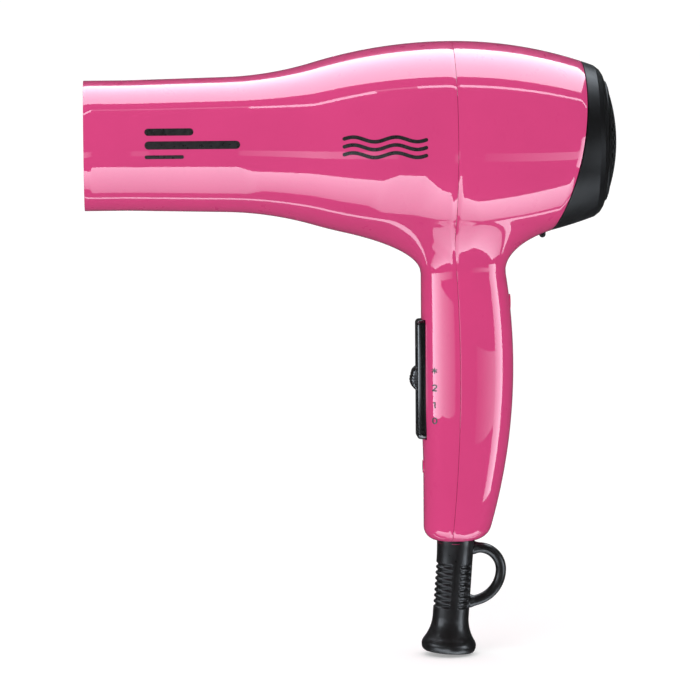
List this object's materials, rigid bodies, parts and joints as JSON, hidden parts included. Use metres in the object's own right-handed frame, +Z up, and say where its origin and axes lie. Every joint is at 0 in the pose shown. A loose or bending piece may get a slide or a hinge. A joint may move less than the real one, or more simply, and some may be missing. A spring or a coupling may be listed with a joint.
{
  "type": "hair dryer",
  "caption": "Hand-held hair dryer with a long barrel, a handle with a slide switch, a pull-off inlet filter cap and a cord guard with a hanging loop.",
  "frame": {"origin": "centre of the nozzle mouth, in the plane of its rim", "axes": "+X from the nozzle to the inlet cap along the barrel axis, +Z up with the handle hanging along -Z, +Y to the user's left when holding it"},
  "size_m": [0.2212, 0.0842, 0.257],
  "materials": {
    "pink_shell": "high gloss moulded plastic",
    "satin_black": "satin moulded plastic",
    "heat_black": "matt heat-resistant plastic",
    "steel_mesh": "fine woven mesh",
    "spring_steel": "drawn spring wire",
    "mica": "pressed mica sheet",
    "heating_wire": "drawn resistance wire",
    "plated_steel": "zinc plated",
    "magnet": "sintered ferrite",
    "carbon": "pressed carbon",
    "brass_parts": "stamped or turned",
    "board": "printed board laminate",
    "lamination_steel": "stacked laminations",
    "copper_wire": "enamelled copper",
    "guard_rubber": "satin soft moulding",
    "lead_brown": "sleeved lead",
    "lead_blue": "sleeved lead",
    "lead_black": "sleeved lead"
  },
  "bodies": {
    "housing": {"front_housing": "pink_shell", "rear_housing": "pink_shell", "screw_plug": "pink_shell", "outlet_grille": "heat_black", "release_spring": "spring_steel", "mica_tube": "mica", "heater_frame": "mica", "heater_coil": "heating_wire", "thermostat": "plated_steel", "thermal_fuse": "plated_steel", "air_guide": "heat_black", "motor_holder": "heat_black", "motor_can": "plated_steel", "motor_end_cap": "heat_black", "motor_magnets": "magnet", "motor_brushes": "carbon", "motor_terminals": "brass_parts", "fan_side_bush": "brass_parts", "brush_side_bush": "brass_parts", "motor_screws": "plated_steel", "rectifier_board": "board", "rectifier_diodes": "heat_black", "switch_bezel": "satin_black", "switch_body": "heat_black", "switch_terminals": "brass_parts", "strain_relief": "guard_rubber", "cord_clamp": "heat_black", "cord_clamp_screws": "plated_steel", "housing_screws": "plated_steel", "line_lead": "lead_brown", "neutral_lead": "lead_blue", "heater_lead": "lead_black"},
    "fan": {"motor_shaft": "plated_steel", "armature_core": "lamination_steel", "armature_windings": "copper_wire", "commutator": "copper_wire", "fan_impeller": "heat_black"},
    "filter_cap": {"cap_ring": "satin_black", "inlet_grille": "satin_black", "lint_screen": "steel_mesh"},
    "switch_slider": {"slider_knob": "satin_black", "contact_slider": "brass_parts"},
    "release_button": {"cap_release_button": "satin_black"}
  },
  "joints": [
    {"name": "fan_spin", "type": "hinge", "parent": "housing", "child": "fan", "pos_m": [0.188, 0, 0], "axis": [1, 0, 0], "continuous": true},
    {"name": "cap_pull", "type": "slide", "parent": "housing", "child": "filter_cap", "axis": [1, 0, 0], "range_m": [0, 0.04]},
    {"name": "switch_slide", "type": "slide", "parent": "housing", "child": "switch_slider", "axis": [0, 0, 1], "range_m": [-0.0138, 0.0069]},
    {"name": "release_press", "type": "slide", "parent": "housing", "child": "release_button", "axis": [0, 0, 1], "range_m": [0, 0.001], "stiffness_N_per_m": 200, "deforming": ["release_spring"]}
  ]
}
